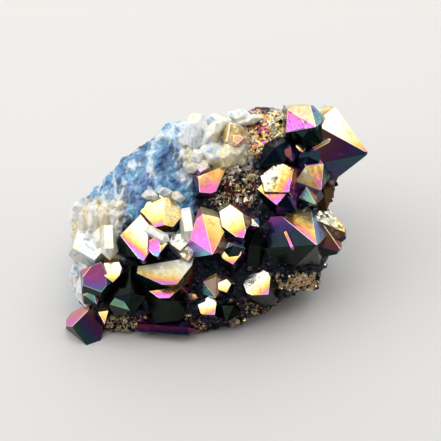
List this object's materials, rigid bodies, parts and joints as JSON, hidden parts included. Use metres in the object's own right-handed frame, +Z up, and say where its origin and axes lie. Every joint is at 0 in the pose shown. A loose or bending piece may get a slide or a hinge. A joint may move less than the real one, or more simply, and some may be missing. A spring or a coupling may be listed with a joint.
{
  "type": "aura quartz cluster",
  "caption": "Cluster of metal-filmed quartz crystals grown together on a rough milky base, cut flat underneath to rest on a surface.",
  "frame": {"origin": "Middle of the footprint box, on the flat cut underneath.", "axes": "+Z up. +X to the right, along the longest side. +Y to the back: the sloping side that carries the large crystals faces -Y and up."},
  "size_m": [0.0762, 0.057, 0.0457],
  "materials": {
    "quartz": "Glassy quartz faces under a thin metal film that turns cream, gold, pink, violet, blue and green; milky blue-white rough quartz where the base is bare."
  },
  "bodies": {
    "root": {"quartz_cluster": "quartz"}
  },
  "joints": []
}
